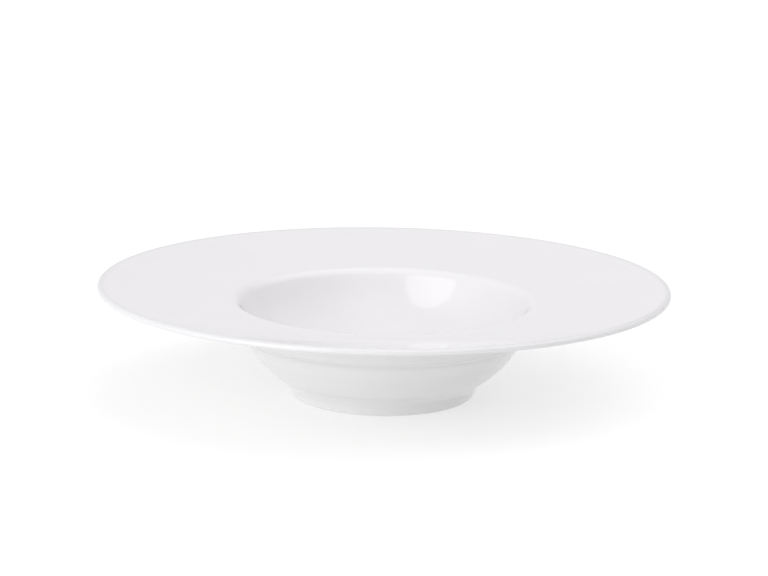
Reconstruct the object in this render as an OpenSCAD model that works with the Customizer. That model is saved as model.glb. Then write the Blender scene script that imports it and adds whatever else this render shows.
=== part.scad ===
// Pasta bowl in glazed porcelain: a broad rim round a small deep well, on a tall foot ring.
// Every piece is turned about Z. The origin is the middle of the foot's bearing face.
// The porcelain is divided where a potter names its parts: rim, well wall, well floor and foot ring.
// The glaze is an even skin over all of it but the foot's ground face, and lies flush with that face.

/* [Rim] */
// Diameter over the rim
rim_d = 300; // [270:1:330]
// Height of the rim's top above the table
rim_h = 60.7; // [54:0.1:70]
// Height of the rim's top above the corner of the well's lip
rim_rise = 9.9; // [6:0.1:13]
// Depth of the hollow in the rim's top face
rim_dish = 0.6; // [0.2:0.1:1.2]
// Thickness of the rim at its outer edge
rim_edge_t = 3.3; // [2.8:0.1:4.5]
// Rounding of the rim's outer edge above
rim_edge_r = 1.9; // [0.8:0.1:2]
// Rounding of the rim's outer edge below
rim_under_r = 1.1; // [0.5:0.1:1.2]
// Thickness of the rim where it joins the well
rim_root_t = 4.4; // [3.6:0.1:6]
// Rounding in the corner under the rim
rim_root_r = 8; // [3:0.5:10]

/* [Well] */
// Diameter of the well's mouth at the corner of its lip
lip_d = 153.4; // [140:0.2:172]
// Rounding of the lip
lip_r = 6; // [3:0.5:10]
// Thickness of the collar from the lip to its outside
collar_t = 5.8; // [4.5:0.1:7]
// Thickness of the wall just above the foot
wall_t = 5; // [4:0.1:6]
// Outward bulge of the wall between the foot and the stacking step
wall_bulge = 1.25; // [0.8:0.05:2.5]
// Radius of the wall's curve outside
wall_r = 55; // [30:1:90]
// Outward bulge of the well's side between the floor and the lip
well_bulge = 2.95; // [2:0.05:3.5]
// Radius of the curve of the well's side
well_r = 70; // [35:1:72]
// Thickness of the floor
floor_t = 5.5; // [4:0.1:7]
// Rounding between the floor and the wall
floor_r = 12; // [5:0.5:15]

/* [Stacking step] */
// Depth of the step below the corner of the lip
step_drop = 18; // [15:0.1:22]
// Distance of the wall under the step from the lip's upright line
step_inset = 1.6; // [0.6:0.1:3]
// Width of the step's ledge
step_w = 1.6; // [0.8:0.1:2.2]
// Rise of the ledge across its width
step_rise = 1; // [0.4:0.1:1.4]
// Rounding of the step's corners
step_r = 2.5; // [1:0.1:3]

/* [Foot] */
// Diameter of the foot at the table
foot_d = 95.2; // [86:0.1:106]
// Height of the foot up to the wall
foot_h = 7.5; // [6.5:0.1:9]
// Outward flare of the foot from the table up to the wall
foot_flare = 4.3; // [2.5:0.1:6]
// Rounding in the corner between the foot and the wall
foot_root_r = 15; // [6:0.5:18]
// Width of the foot at the table
foot_w = 5.6; // [4.5:0.1:7]
// Rounding of the foot's outer edge
foot_outer_r = 2.6; // [1:0.1:3]
// Rounding of the foot's inner edge
foot_inner_r = 0.8; // [0.4:0.1:1.2]
// Depth of the recess inside the foot
recess_h = 6; // [5:0.1:7]
// Inward lean of the recess's side from the table up
recess_lean = 1; // [0.5:0.1:2]
// Rounding at the top of the recess
recess_r = 3; // [1:0.5:4]

/* [Glaze] */
// Thickness of the glaze
glaze_t = 0.3; // [0.15:0.05:0.5]

/* [Hidden] */
$fn = 180;
porcelain = "#efece6";
glaze = "#f5f3f4";

// Points in each rounded corner, less one
arc_steps = 12;
// How many of those steps are ground bare of glaze at the foot's outer edge, from the bearing face up
bare_steps = 4;
// How far along its chord the wall's bulge lies, from the foot
bulge_share = 0.47;
// How far along its chord the bulge of the well's side lies, from the floor
well_share = 0.46;
// How much of the rim's top face its hollow's curve takes up
dish_share = 0.8;
// How much of a straight stretch the roundings at its two ends may take up
room_share = 0.98;

function direction(a, b) = (b - a) / norm(b - a);
function left_of(d) = [-d.y, d.x];
function turned(v, angle) = [v.x * cos(angle) - v.y * sin(angle), v.x * sin(angle) + v.y * cos(angle)];

// Heights
lip_h = rim_h - rim_rise;
floor_h = recess_h + floor_t;

// Corners of the outline, as [distance from the axis, height]
foot_outer = [foot_d / 2, 0];
foot_inner = foot_outer - [foot_w, 0];
recess = foot_inner + [-recess_lean, recess_h];
foot_root = foot_outer + [foot_flare, foot_h];
lip = [lip_d / 2, lip_h];
step_in = lip - [step_inset, step_drop];
step_out = step_in + [step_w, step_rise];
dish = (lip + [rim_d / 2, rim_h]) / 2 - [0, 2 * rim_dish];
edge_lean = atan2(rim_h - dish.y, rim_d / 2 - dish.x);
edge_top = [rim_d / 2, rim_h + rim_edge_r * (tan(edge_lean) + 1 / cos(edge_lean) - 1)];
edge_under = edge_top - [0, rim_edge_t];
rim_root = lip + [collar_t, -rim_root_t] + [0, collar_t * (dish.y - lip.y) / (dish.x - lip.x)];

// The wall's curve follows two straight lines that meet outside it, from the foot up to the stacking step
wall_chord = step_in - foot_root;
wall = foot_root + wall_chord * bulge_share - left_of(direction(foot_root, step_in)) * 2 * wall_bulge;
wall_low = direction(foot_root, wall);
wall_high = direction(wall, step_in);
wall_mitre = (left_of(wall_low) + left_of(wall_high)) / (1 + wall_low * wall_high);

// The floor ends where it leaves the wall its thickness, and the well's side curves from there to the lip
wall_inside = wall + wall_mitre * wall_t;
floor_edge = wall_inside - wall_low * (wall_inside.y - floor_h) / wall_low.y;
well_chord = lip - floor_edge;
well = floor_edge + well_chord * well_share - left_of(direction(floor_edge, lip)) * 2 * well_bulge;

// The rim's hollow curves over its share of the shorter half of the top face
dish_turn = atan2(edge_top.y - dish.y, edge_top.x - dish.x) - atan2(dish.y - lip.y, dish.x - lip.x);
dish_r = dish_share * min(norm(dish - lip), norm(edge_top - dish)) / tan(dish_turn / 2);

// The whole section, from the axis under the floor round the outside and back to the axis in the well
outline = [
    ["under_axis", [0, recess_h], 0],
    ["recess", recess, recess_r],
    ["foot_inner", foot_inner, foot_inner_r],
    ["foot_outer", foot_outer, foot_outer_r],
    ["foot_root", foot_root, foot_root_r],
    ["wall", wall, wall_r],
    ["step_in", step_in, step_r],
    ["step_out", step_out, step_r],
    ["rim_root", rim_root, rim_root_r],
    ["edge_under", edge_under, rim_under_r],
    ["edge_top", edge_top, rim_edge_r],
    ["dish", dish, dish_r],
    ["lip", lip, lip_r],
    ["well", well, well_r],
    ["floor_edge", floor_edge, floor_r],
    ["well_axis", [0, floor_h], 0]
];
function at(name) = search([name], outline)[0];
function corner(k) = outline[k][1];
function side(k) = direction(corner(k), corner(k + 1));
function side_length(k) = norm(corner(k + 1) - corner(k));

// Angle turned at a corner, left positive, and how far its rounding reaches along each side
function turn(k) = atan2(cross(side(k - 1), side(k)), side(k - 1) * side(k));
function wanted_reach(k) = outline[k][2] == 0 ? 0 : outline[k][2] * tan(abs(turn(k)) / 2);
function room(k) = room_share * side_length(k) / (wanted_reach(k) + wanted_reach(k + 1));
function reach(k) = wanted_reach(k) * min(1, room(k - 1), room(k));

// Points of one rounded corner, at a depth under the surface
function arc(k, depth) =
    let (
        bend = sign(turn(k)),
        radius = reach(k) / tan(abs(turn(k)) / 2),
        inward = left_of(side(k - 1)) * bend,
        centre = corner(k) - side(k - 1) * reach(k) + inward * radius
    )
    [for (i = [0 : arc_steps]) centre - turned(inward, turn(k) * i / arc_steps) * (radius - bend * depth)];
function arcs(from, to, depth) = [for (k = [at(from) : at(to)]) each arc(k, depth)];
function arc_start(name, depth) = arc(at(name), depth)[0];
function arc_end(name, depth) = arc(at(name), depth)[arc_steps];
function arc_part(name, depth, from, to) = [for (i = [from : to]) arc(at(name), depth)[i]];
function reversed(points) = [for (i = [len(points) - 1 : -1 : 0]) points[i]];

// Point inside the porcelain where wall, floor and foot ring meet
heart = (arc_end("foot_root", glaze_t) + arc_start("floor_edge", glaze_t) + arc_start("recess", glaze_t)) / 3;

module turned_piece(tint, section) {
    color(tint) rotate_extrude() polygon(section);
}

module rim() {
    turned_piece(porcelain, concat(
        [arc_end("rim_root", glaze_t)],
        arcs("edge_under", "dish", glaze_t),
        [arc_start("lip", glaze_t)]
    ));
}

module well_wall() {
    turned_piece(porcelain, concat(
        [arc_end("foot_root", glaze_t)],
        arcs("wall", "rim_root", glaze_t),
        arcs("lip", "well", glaze_t),
        [arc_start("floor_edge", glaze_t), heart]
    ));
}

module well_floor() {
    turned_piece(porcelain, concat(
        arcs("floor_edge", "floor_edge", glaze_t),
        [[0, floor_h - glaze_t], [0, recess_h + glaze_t]],
        [arc_start("recess", glaze_t), heart]
    ));
}

module foot_ring() {
    turned_piece(porcelain, concat(
        arcs("recess", "recess", glaze_t),
        [arc_start("foot_inner", glaze_t)],
        arcs("foot_inner", "foot_inner", 0),
        arc_part("foot_outer", 0, 0, bare_steps),
        arc_part("foot_outer", glaze_t, bare_steps, arc_steps),
        arcs("foot_root", "foot_root", glaze_t),
        [heart]
    ));
}

module glaze_coat() {
    turned_piece(glaze, concat(
        arc_part("foot_outer", 0, bare_steps, arc_steps),
        arcs("foot_root", "floor_edge", 0),
        [[0, floor_h], [0, floor_h - glaze_t]],
        reversed(arcs("foot_root", "floor_edge", glaze_t)),
        reversed(arc_part("foot_outer", glaze_t, bare_steps, arc_steps))
    ));
}

module base_glaze() {
    turned_piece(glaze, concat(
        [[0, recess_h]],
        arcs("recess", "recess", 0),
        [arc_start("foot_inner", 0), arc_start("foot_inner", glaze_t)],
        reversed(arcs("recess", "recess", glaze_t)),
        [[0, recess_h + glaze_t]]
    ));
}

rim();
well_wall();
well_floor();
foot_ring();
glaze_coat();
base_glaze();
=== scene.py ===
"""A pasta bowl in white glazed porcelain: a broad rim round a small deep well, on a tall foot ring."""
import math

import bpy
from mathutils import Matrix, Vector


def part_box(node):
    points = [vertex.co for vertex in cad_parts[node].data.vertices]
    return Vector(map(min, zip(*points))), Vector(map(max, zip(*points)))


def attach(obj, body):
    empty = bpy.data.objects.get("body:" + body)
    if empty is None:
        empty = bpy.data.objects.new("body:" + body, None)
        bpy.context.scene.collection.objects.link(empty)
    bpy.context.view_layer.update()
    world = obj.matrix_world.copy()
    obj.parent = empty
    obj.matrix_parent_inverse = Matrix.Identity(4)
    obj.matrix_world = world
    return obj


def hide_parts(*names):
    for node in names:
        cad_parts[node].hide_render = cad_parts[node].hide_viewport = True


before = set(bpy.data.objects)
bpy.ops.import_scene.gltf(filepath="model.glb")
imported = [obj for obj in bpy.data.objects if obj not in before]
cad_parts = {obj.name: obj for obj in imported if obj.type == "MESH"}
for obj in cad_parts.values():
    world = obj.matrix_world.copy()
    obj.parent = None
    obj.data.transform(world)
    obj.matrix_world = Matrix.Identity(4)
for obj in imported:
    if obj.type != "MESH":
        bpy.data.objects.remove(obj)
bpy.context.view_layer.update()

# The body: rim, well wall and well floor, one piece of hard porcelain pressed by a roller head on a
# turning plaster mould and fired to a dense white biscuit. The glaze hides all of it, so its solids
# stay as they are and take the biscuit's own finish.
biscuit_white = "#E6E2DC"
biscuit_shade = "#DCD7CF"
cloud_width = 0.025
grain_width = 0.0004
grain_height = 0.00001

# A Mix node's two colours among its inputs, and the mixed colour among its outputs.
first_colour = 6
second_colour = 7
mixed_colour = 2


def linear(hex_code):
    """An sRGB hex colour as linear red, green, blue and alpha."""
    parts = [int(hex_code[k:k + 2], 16) / 255 for k in (1, 3, 5)]
    return [p / 12.92 if p <= 0.04045 else ((p + 0.055) / 1.055) ** 2.4 for p in parts] + [1]


def add(tree, kind, inputs=None, **settings):
    """Adds a node with its settings. An input is a value, or the socket that it is linked from."""
    node = tree.nodes.new(kind)
    for name, value in settings.items():
        setattr(node, name, value)
    for key, value in (inputs or {}).items():
        if isinstance(value, bpy.types.NodeSocket):
            tree.links.new(value, node.inputs[key])
        else:
            node.inputs[key].default_value = value
    return node


def new_material(name, **constants):
    """A material with a Principled shader, whose constant sockets are given, and its tree."""
    material = bpy.data.materials.new(name)
    material.use_nodes = True
    shader = material.node_tree.nodes["Principled BSDF"]
    for socket, value in constants.items():
        shader.inputs[socket.replace("_", " ")].default_value = value
    return material, material.node_tree, shader


# Biscuit porcelain is dense and matt, a warm white with faint clouds and a fine grain.
biscuit, tree, shader = new_material("biscuit porcelain", Roughness=0.75, IOR=1.5)
place = add(tree, "ShaderNodeTexCoord").outputs["Object"]
cloud = add(tree, "ShaderNodeTexNoise", {"Vector": place, "Scale": 1 / cloud_width, "Detail": 3})
tint = add(
    tree,
    "ShaderNodeMix",
    {
        "Factor": cloud.outputs["Fac"],
        first_colour: linear(biscuit_white),
        second_colour: linear(biscuit_shade),
    },
    data_type="RGBA",
)
tree.links.new(tint.outputs[mixed_colour], shader.inputs["Base Color"])
grain = add(tree, "ShaderNodeTexNoise", {"Vector": place, "Scale": 1 / grain_width, "Detail": 2})
bump = add(tree, "ShaderNodeBump", {"Height": grain.outputs["Fac"], "Distance": grain_height})
tree.links.new(bump.outputs["Normal"], shader.inputs["Normal"])

for node in ("rim", "well_wall", "well_floor"):
    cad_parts[node].data.materials.clear()
    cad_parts[node].data.materials.append(biscuit)

# The foot ring: the same porcelain, but its bearing face was wiped clean of glaze before firing and
# ground flat on a wheel afterwards, so that it doesn't scratch the table. Only that face is bare.
ring_spacing = 0.0011
scratch_depth = 0.00002
ground_white = "#DFDCD7"
ground_shade = "#D3D0CA"

# The spacing of a Wave texture's rings at a scale of one.
wave_spacing = math.tau / 20

# Ground porcelain is matt and a little darker than biscuit, with fine rings from the wheel.
ground, tree, shader = new_material("ground porcelain", Roughness=0.85, IOR=1.5)
place = add(tree, "ShaderNodeTexCoord").outputs["Object"]
rings = add(
    tree,
    "ShaderNodeTexWave",
    {"Vector": place, "Scale": wave_spacing / ring_spacing, "Distortion": 1.5, "Detail": 3},
    wave_type="RINGS",
    rings_direction="Z",
)
tint = add(
    tree,
    "ShaderNodeMix",
    {
        "Factor": rings.outputs["Fac"],
        first_colour: linear(ground_white),
        second_colour: linear(ground_shade),
    },
    data_type="RGBA",
)
tree.links.new(tint.outputs[mixed_colour], shader.inputs["Base Color"])
bump = add(tree, "ShaderNodeBump", {"Height": rings.outputs["Fac"], "Distance": scratch_depth})
tree.links.new(bump.outputs["Normal"], shader.inputs["Normal"])
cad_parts["foot_ring"].data.materials.clear()
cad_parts["foot_ring"].data.materials.append(ground)

# The base glaze: the glass skin in the recess inside the foot, poured on with the rest of the glaze
# and parted from it by the ground face. It is an even third of a millimetre thick.
glaze_t = 0.0003
foot_r = 0.0476
foot_w = 0.0056
foot_inner_r = 0.0008
foot_outer_r = 0.0026
recess_lean = 0.001
recess_r = 0.003
recess_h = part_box("base_glaze")[1].z - glaze_t
segments = 208
arc_steps = 11
longest_step = 0.003
seam_gap = 0.000001
sharp_edge = math.radians(50)
ripple_height = 0.00003
ripple_width = 0.022
ripple_seed = 4
glaze_white = "#E3E2E3"
glaze_cool = "#E1E1E1"
# The grey of the painted shade, and how quickly it fades out from where it is strongest.
painted_shade_grey = "#D8D8D9"
painted_shade_falloff = 4
peel_width = 0.0016
peel_height = 0.000004

# Clear felspar glaze over white porcelain is a cool bright white under a hard mirror of glass. Its
# colour is painted greyer in the hollow corners, low on the wall above the foot, at the step and on the
# rim's edge. This is painted shade where shade falls, partly glaze that gathers in the hollows, and on
# the rim's edge a painted darkening that dims its light. Its skin has a faint orange peel.
glaze, tree, shader = new_material("glazed porcelain", Roughness=0.03, IOR=1.5)
place = add(tree, "ShaderNodeTexCoord").outputs["Object"]
cloud = add(tree, "ShaderNodeTexNoise", {"Vector": place, "Scale": 1 / cloud_width, "Detail": 2})
tint = add(
    tree,
    "ShaderNodeMix",
    {
        "Factor": cloud.outputs["Fac"],
        first_colour: linear(glaze_white),
        second_colour: linear(glaze_cool),
    },
    data_type="RGBA",
)
# Painted shade: the glaze's colour is mixed towards grey where the skin's attribute says, in the
# hollows and on the rim's edge.
painted_shade = add(tree, "ShaderNodeAttribute", attribute_name="painted_shade")
painted_shade_strength = add(tree, "ShaderNodeMath", {0: painted_shade.outputs["Fac"], 1: painted_shade_falloff}, operation="POWER")
shaded = add(
    tree,
    "ShaderNodeMix",
    {
        "Factor": painted_shade_strength.outputs[0],
        first_colour: tint.outputs[mixed_colour],
        second_colour: linear(painted_shade_grey),
    },
    data_type="RGBA",
)
tree.links.new(shaded.outputs[mixed_colour], shader.inputs["Base Color"])
peel = add(tree, "ShaderNodeTexNoise", {"Vector": place, "Scale": 1 / peel_width, "Detail": 1})
bump = add(tree, "ShaderNodeBump", {"Height": peel.outputs["Fac"], "Distance": peel_height})
tree.links.new(bump.outputs["Normal"], shader.inputs["Normal"])

# The tree rounds a line of corners, adds points along its straight stretches, turns it round the
# axis as a grid of columns and rows, closes it, and gives it the glaze's slow ripple.
turning = bpy.data.node_groups.new("turned skin", "GeometryNodeTree")
for label, kind in (
    ("Line", "NodeSocketGeometry"),
    ("Segments", "NodeSocketInt"),
    ("Arc steps", "NodeSocketInt"),
    ("Longest step", "NodeSocketFloat"),
    ("Seam gap", "NodeSocketFloat"),
    ("Ripple height", "NodeSocketFloat"),
    ("Ripple width", "NodeSocketFloat"),
    ("Seed", "NodeSocketFloat"),
    ("Finish", "NodeSocketMaterial"),
):
    turning.interface.new_socket(label, in_out="INPUT", socket_type=kind)
turning.interface.new_socket("Skin", in_out="OUTPUT", socket_type="NodeSocketGeometry")
given = add(turning, "NodeGroupInput").outputs
place = add(turning, "GeometryNodeInputPosition").outputs[0]
index = add(turning, "GeometryNodeInputIndex").outputs[0]

# Each corner takes its own rounding, and each stretch as many points as its length needs.
line = add(turning, "GeometryNodeMeshToCurve", {"Mesh": given["Line"]})
rounding = add(turning, "GeometryNodeInputNamedAttribute", {"Name": "rounding"}, data_type="FLOAT")
rounded = add(
    turning,
    "GeometryNodeFilletCurve",
    {"Curve": line.outputs[0], "Count": given["Arc steps"], "Radius": rounding.outputs[0]},
    mode="POLY",
)
after = add(turning, "FunctionNodeIntegerMath", {0: index, 1: 1}, operation="ADD")
next_place = add(
    turning,
    "GeometryNodeFieldAtIndex",
    {"Value": place, "Index": after.outputs[0]},
    data_type="FLOAT_VECTOR",
)
stretch = add(
    turning,
    "ShaderNodeVectorMath",
    {0: place, 1: next_place.outputs[0]},
    operation="DISTANCE",
)
cuts = add(
    turning,
    "ShaderNodeMath",
    {0: stretch.outputs["Value"], 1: given["Longest step"]},
    operation="DIVIDE",
)
section = add(
    turning,
    "GeometryNodeSubdivideCurve",
    {"Curve": rounded.outputs[0], "Cuts": cuts.outputs[0]},
).outputs[0]

# The grid has a row for each point of the section, and its last column lies on its first.
size = add(turning, "GeometryNodeAttributeDomainSize", {"Geometry": section}, component="CURVE")
rows = size.outputs["Point Count"]
columns = add(turning, "FunctionNodeIntegerMath", {0: given["Segments"], 1: 1}, operation="ADD")
grid = add(turning, "GeometryNodeMeshGrid", {"Vertices X": columns.outputs[0], "Vertices Y": rows})
row = add(turning, "FunctionNodeIntegerMath", {0: index, 1: rows}, operation="MODULO")
column = add(turning, "FunctionNodeIntegerMath", {0: index, 1: rows}, operation="DIVIDE_FLOOR")
drawn = add(
    turning,
    "GeometryNodeSampleIndex",
    {"Geometry": section, "Value": place, "Index": row.outputs[0]},
    data_type="FLOAT_VECTOR",
)
turn = add(
    turning,
    "ShaderNodeMath",
    {0: column.outputs[0], 1: given["Segments"]},
    operation="DIVIDE",
)
angle = add(turning, "ShaderNodeMath", {0: turn.outputs[0], 1: math.tau}, operation="MULTIPLY")
turned = add(
    turning,
    "ShaderNodeVectorRotate",
    {"Vector": drawn.outputs[0], "Angle": angle.outputs[0]},
    rotation_type="Z_AXIS",
)
wrapped = add(
    turning,
    "GeometryNodeSetPosition",
    {"Geometry": grid.outputs["Mesh"], "Position": turned.outputs[0]},
)
# Each point of the skin takes the painted shade of its row's point on the section.
painted_shade = add(turning, "GeometryNodeInputNamedAttribute", {"Name": "painted_shade"}, data_type="FLOAT")
shade_drawn = add(
    turning,
    "GeometryNodeSampleIndex",
    {"Geometry": section, "Value": painted_shade.outputs[0], "Index": row.outputs[0]},
)
marked = add(
    turning,
    "GeometryNodeStoreNamedAttribute",
    {"Geometry": wrapped.outputs[0], "Name": "painted_shade", "Value": shade_drawn.outputs[0]},
)
closed = add(
    turning,
    "GeometryNodeMergeByDistance",
    {"Geometry": marked.outputs[0], "Distance": given["Seam gap"]},
)

# The ripple only sinks into the skin, so the bowl keeps within its solids.
wave_count = add(turning, "ShaderNodeMath", {0: 1, 1: given["Ripple width"]}, operation="DIVIDE")
wave = add(
    turning,
    "ShaderNodeTexNoise",
    {"Vector": place, "W": given["Seed"], "Scale": wave_count.outputs[0], "Detail": 0},
    noise_dimensions="4D",
)
sunk = add(turning, "ShaderNodeMath", {0: wave.outputs["Fac"], 1: 1}, operation="SUBTRACT")
height = add(
    turning,
    "ShaderNodeMath",
    {0: sunk.outputs[0], 1: given["Ripple height"]},
    operation="MULTIPLY",
)
outward = add(turning, "GeometryNodeInputNormal").outputs[0]
offset = add(
    turning,
    "ShaderNodeVectorMath",
    {0: outward, "Scale": height.outputs[0]},
    operation="SCALE",
)
rippled = add(
    turning,
    "GeometryNodeSetPosition",
    {"Geometry": closed.outputs[0], "Offset": offset.outputs[0]},
)
smooth = add(turning, "GeometryNodeSetShadeSmooth", {"Geometry": rippled.outputs[0]})
real = add(turning, "GeometryNodeRealizeInstances", {"Geometry": smooth.outputs[0]})
finished = add(
    turning,
    "GeometryNodeSetMaterial",
    {"Geometry": real.outputs[0], "Material": given["Finish"]},
)
add(turning, "NodeGroupOutput", {"Skin": finished.outputs[0]})

scene = bpy.context.scene


def turned_skin(name, corners):
    """A closed skin of glaze on a line of corners, each given by its place, rounding and painted shade.
    """
    mesh = bpy.data.meshes.new(name)
    points = [(spot.x, 0, spot.y) for spot, _, _ in corners]
    mesh.from_pydata(points, [(k, k + 1) for k in range(len(points) - 1)], [])
    # Each corner's rounding and painted shade are stored on its point.
    for label, value in (("rounding", 1), ("painted_shade", 2)):
        attribute = mesh.attributes.new(label, "FLOAT", "POINT")
        attribute.data.foreach_set("value", [corner[value] for corner in corners])
    piece = bpy.data.objects.new(name, mesh)
    scene.collection.objects.link(piece)
    modifier = piece.modifiers.new("turning", "NODES")
    modifier.node_group = turning
    sizes = {
        "Segments": segments,
        "Arc steps": arc_steps,
        "Longest step": longest_step,
        "Seam gap": seam_gap,
        "Ripple height": ripple_height,
        "Ripple width": ripple_width,
        "Seed": ripple_seed,
        "Finish": glaze,
    }
    for socket in turning.interface.items_tree:
        if socket.name in sizes:
            modifier[socket.identifier] = sizes[socket.name]
    solid = piece.modifiers.new("thickness", "SOLIDIFY")
    solid.thickness = glaze_t
    solid.offset = -1
    evaluated = piece.evaluated_get(bpy.context.evaluated_depsgraph_get())
    result = bpy.data.meshes.new_from_object(evaluated)
    # The drawn line had no material, and its empty slot comes before the glaze's.
    result.materials.pop(index=0)
    result.set_sharp_from_angle(angle=sharp_edge)
    piece.modifiers.clear()
    piece.data = result
    return piece


foot_outer = Vector((foot_r, 0))
foot_inner = foot_outer - Vector((foot_w, 0))
recess = foot_inner + Vector((-recess_lean, recess_h))
inner_turn = (foot_inner - recess).angle(foot_outer - foot_inner)
bare_reach = foot_inner_r * math.tan(inner_turn / 2)
base_edge = foot_inner + (recess - foot_inner).normalized() * bare_reach
# The recess's hollow corner is painted greyer, as painted shade.
base_glaze = turned_skin("base_glaze_skin", [
    (Vector((0, recess_h)), 0, 0),
    (recess, recess_r, 1),
    (base_edge, 0, 0),
])
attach(base_glaze, "root")
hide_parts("base_glaze")

# The glaze coat: the skin from the foot's outside over the wall, the stacking step, the rim and the
# lip to the middle of the well. It was poured on in one go and fired to glass with the base glaze.
foot_h = 0.0075
foot_flare = 0.0043
bare_share = 1 / 3
foot_root_r = 0.015
wall_t = 0.005
wall_bulge = 0.00125
wall_r = 0.055
bulge_share = 0.47
step_drop = 0.018
step_inset = 0.0016
step_w = 0.0016
step_rise = 0.001
step_r = 0.0025
lip_r = 0.006
mouth_r = 0.0767
collar_t = 0.0058
rim_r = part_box("glaze_coat")[1].x
rim_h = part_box("glaze_coat")[1].z
rim_rise = 0.0099
rim_dish = 0.0006
dish_share = 0.8
rim_edge_t = 0.0033
rim_edge_r = 0.0019
rim_under_r = 0.0011
rim_root_t = 0.0044
rim_root_r = 0.008
well_r = 0.07
well_bulge = 0.00295
well_share = 0.46
floor_r = 0.012
floor_t = 0.0055

# Where the painted shade is darkest above the foot, how far it fades from the step and the rim's edge,
# and how strong it is at the foot, on the wall and on the step's ledge. It is painted shade that
# darkens the wall above the foot, the step's line and the rim's edge, and partly glaze gathered in the
# hollows.
painted_shade_rise = 0.0055
fade_below_step = 0.0075
fade_above_step = 0.0024
fade_under_edge = 0.006
painted_shade_at_foot = 0.76
painted_shade_above_foot = 0.95
painted_shade_on_wall = 0.68
painted_shade_on_ledge = 0.88

# The coat starts part of the way round the foot's outer edge, above the ground face.
foot_root = foot_outer + Vector((foot_flare, foot_h))
foot_side = (foot_root - foot_outer).normalized()
foot_turn = (foot_outer - foot_inner).angle(foot_side)
bare_turn = foot_turn * bare_share
side_reach = foot_outer_r * math.tan(foot_turn / 2)
edge_reach = foot_outer_r * math.tan((foot_turn - bare_turn) / 2)
coat_corner = foot_outer + foot_side * (side_reach - edge_reach)
coat_edge = coat_corner - Vector((math.cos(bare_turn), math.sin(bare_turn))) * edge_reach

# The rim rises from the lip to its edge in a slight hollow.
lip = Vector((mouth_r, rim_h - rim_rise))
step_in = lip - Vector((step_inset, step_drop))
step_out = step_in + Vector((step_w, step_rise))
dish = (lip + Vector((rim_r, rim_h))) / 2 - Vector((0, 2 * rim_dish))
edge_lean = math.atan2(rim_h - dish.y, rim_r - dish.x)
edge_lift = rim_edge_r * (math.tan(edge_lean) + 1 / math.cos(edge_lean) - 1)
edge_top = Vector((rim_r, rim_h + edge_lift))
edge_under = edge_top - Vector((0, rim_edge_t))
lip_slope = (dish.y - lip.y) / (dish.x - lip.x)
rim_root = lip + Vector((collar_t, collar_t * lip_slope - rim_root_t))
dish_reach = dish_share * min((dish - lip).length, (edge_top - dish).length)
dish_r = dish_reach / math.tan((dish - lip).angle(edge_top - dish) / 2)

# The wall bulges between the foot and the step, and the floor ends where it leaves the wall its
# thickness. The well's side bulges from there to the lip.
wall_side = (step_in - foot_root).normalized().orthogonal()
wall = foot_root.lerp(step_in, bulge_share) - wall_side * 2 * wall_bulge
low_side = (wall - foot_root).normalized()
high_side = (step_in - wall).normalized()
mitre = (low_side.orthogonal() + high_side.orthogonal()) / (1 + low_side.dot(high_side))
inside = wall + mitre * wall_t
floor_h = recess_h + floor_t
floor_edge = inside - low_side * (inside.y - floor_h) / low_side.y
well_side = (lip - floor_edge).normalized().orthogonal()
well = floor_edge.lerp(lip, well_share) - well_side * 2 * well_bulge

above_foot = foot_root + low_side * painted_shade_rise
below_step = step_in - high_side * fade_below_step
above_step = step_out + (rim_root - step_out).normalized() * fade_above_step
under_edge = edge_under + (rim_root - edge_under).normalized() * fade_under_edge
# The third value of each corner is its painted shade: greyer glaze above the foot, at the step, under
# the rim and on the rim's edge.
glaze_coat = turned_skin("glaze_coat_skin", [
    (coat_edge, 0, 0),
    (coat_corner, foot_outer_r, 0),
    (foot_root, foot_root_r, painted_shade_at_foot),
    (above_foot, 0, painted_shade_above_foot),
    (wall, wall_r, painted_shade_on_wall),
    (below_step, 0, 0),
    (step_in, step_r, 1),
    (step_out, step_r, painted_shade_on_ledge),
    (above_step, 0, 0),
    (rim_root, rim_root_r, 1),
    (under_edge, 0, 0),
    (edge_under, rim_under_r, 1),
    (edge_top, rim_edge_r, 1),
    (dish, dish_r, 0),
    (lip, lip_r, 0),
    (well, well_r, 0),
    (floor_edge, floor_r, 0),
    (Vector((0, floor_h)), 0, 0),
])
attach(glaze_coat, "root")
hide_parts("glaze_coat")

# The stage: a wide sheet of opal acrylic, as on a studio's shooting table. It is lit from below as
# well as from above, so that it stays pale under the bowl.
floor_half = 6.0
acrylic_white = "#BCBCBB"
acrylic_glow = 0.51

# Opal acrylic with a sanded face is matt and milky. It throws back half of the light that falls on it
# and lets the rest through, and the lamps under it give it a glow of its own.
acrylic, tree, shader = new_material(
    "opal acrylic", Roughness=1.0, Specular_IOR_Level=0.0, Emission_Strength=acrylic_glow
)
shader.inputs["Emission Color"].default_value = (1, 1, 1, 1)
shader.inputs["Base Color"].default_value = linear(acrylic_white)
corners = [(x * floor_half, y * floor_half, 0) for x, y in ((-1, -1), (1, -1), (1, 1), (-1, 1))]
floor_mesh = bpy.data.meshes.new("floor")
floor_mesh.from_pydata(corners, [], [(0, 1, 2, 3)])
floor_mesh.materials.append(acrylic)
floor = bpy.data.objects.new("floor", floor_mesh)
scene.collection.objects.link(floor)

# The room: pale all round, with soft patches of wall that are lit more or less. Each patch is given by
# its bearing from the viewer's side towards the left and its height, both in degrees, how many degrees
# it spreads and how much brighter or darker it is.
room_light = 0.84
room_tint = (1.0, 0.985, 1.003, 1)
patches = (
    (51, 4, 52, 0.95),
    (-75, 59, 68, 1.02),
    (-43, -15, 55, -1.1),
    (-60, 0, 60, -0.56),
    (0, 90, 90, -0.32),
)


def toward(bearing, height_angle):
    """The direction from the bowl at a bearing and a height angle, both in degrees."""
    around = math.radians(bearing)
    up = math.radians(height_angle)
    return Vector((-math.sin(around) * math.cos(up), -math.cos(around) * math.cos(up), math.sin(up)))


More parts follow.
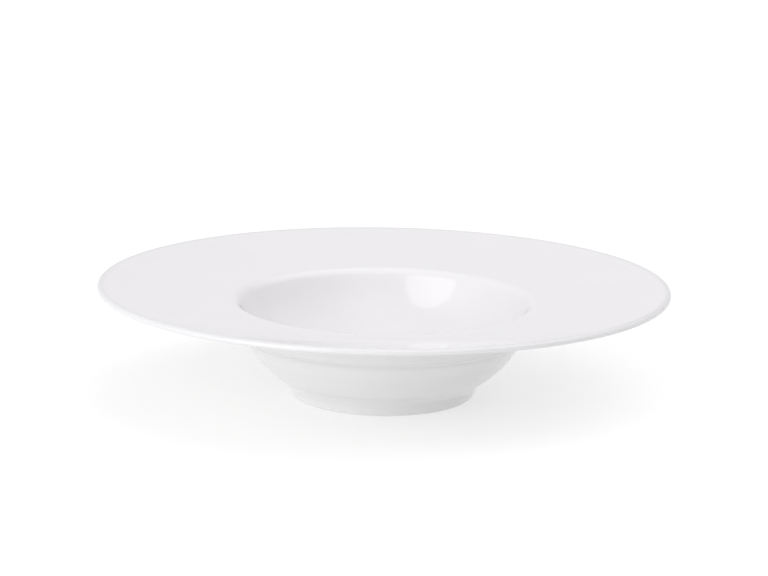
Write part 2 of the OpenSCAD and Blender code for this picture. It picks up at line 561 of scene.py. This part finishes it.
world = bpy.data.worlds.new("pale room")
world.use_nodes = True
tree = world.node_tree
look = add(tree, "ShaderNodeTexCoord").outputs["Generated"]
total = room_light
for bearing, height_angle, spread, change in patches:
    facing = add(
        tree,
        "ShaderNodeVectorMath",
        {0: look, 1: toward(bearing, height_angle)},
        operation="DOT_PRODUCT",
    )
    edge = math.cos(math.radians(spread))
    patch = add(
        tree,
        "ShaderNodeMapRange",
        {"Value": facing.outputs["Value"], "From Min": edge, "To Max": change},
        interpolation_type="SMOOTHSTEP",
    )
    total = add(tree, "ShaderNodeMath", {0: total, 1: patch.outputs[0]}, operation="ADD").outputs[0]
lit = add(tree, "ShaderNodeMath", {0: total, 1: 0}, operation="MAXIMUM")
background = tree.nodes["Background"]
background.inputs["Color"].default_value = room_tint
tree.links.new(lit.outputs[0], background.inputs["Strength"])
scene.world = world

# The lamp: one large oval soft box, a lamp behind white cloth, at the viewer's left and a little above
# the rim. The glaze mirrors it as a pale shield in the well.
lamp_width = 1.26
lamp_height = 1.58
lamp_distance = 1.6
lamp_brightness = 1.6
lamp_bearing = 43
lamp_height_angle = 22.5
bowl_middle = Vector((0, 0, 0.05))
away = toward(lamp_bearing, lamp_height_angle)
lamp = bpy.data.lights.new("soft box", "AREA")
lamp.shape = "ELLIPSE"
lamp.size = lamp_width
lamp.size_y = lamp_height
lamp_area = math.pi * lamp_width * lamp_height / 4
lamp.energy = lamp_brightness * math.pi * lamp_area
soft_box = bpy.data.objects.new("soft box", lamp)
soft_box.location = bowl_middle + away * lamp_distance
soft_box.rotation_euler = (-away).to_track_quat("-Z", "Y").to_euler()
scene.collection.objects.link(soft_box)

# The camera: a short telephoto lens a little above the rim, at the photograph's own angle. It is rolled
# by about a degree, as the photograph's was. A pixel at the bowl's axis is about half a millimetre.
photo_width = 768
pixels_per_metre = 1902.2
sensor_width = 36
view_distance = 1.2
view_height_angle = math.radians(12.34)
view_roll = math.radians(0.955)
rim_plane = 0.05905
aim = Vector((-0.000075, 0, 0.05675))
eye_back = view_distance * math.cos(view_height_angle)
eye = Vector((0, -eye_back, rim_plane + view_distance * math.sin(view_height_angle)))
camera_data = bpy.data.cameras.new("camera")
camera_data.sensor_width = sensor_width
camera_data.lens = pixels_per_metre * view_distance / photo_width * sensor_width
camera = bpy.data.objects.new("camera", camera_data)
gaze = (aim - eye).to_track_quat("-Z", "Y").to_matrix() @ Matrix.Rotation(view_roll, 3, "Z")
camera.matrix_world = Matrix.Translation(eye) @ gaze.to_4x4()
scene.collection.objects.link(camera)
scene.camera = camera
scene.view_settings.view_transform = "Standard"
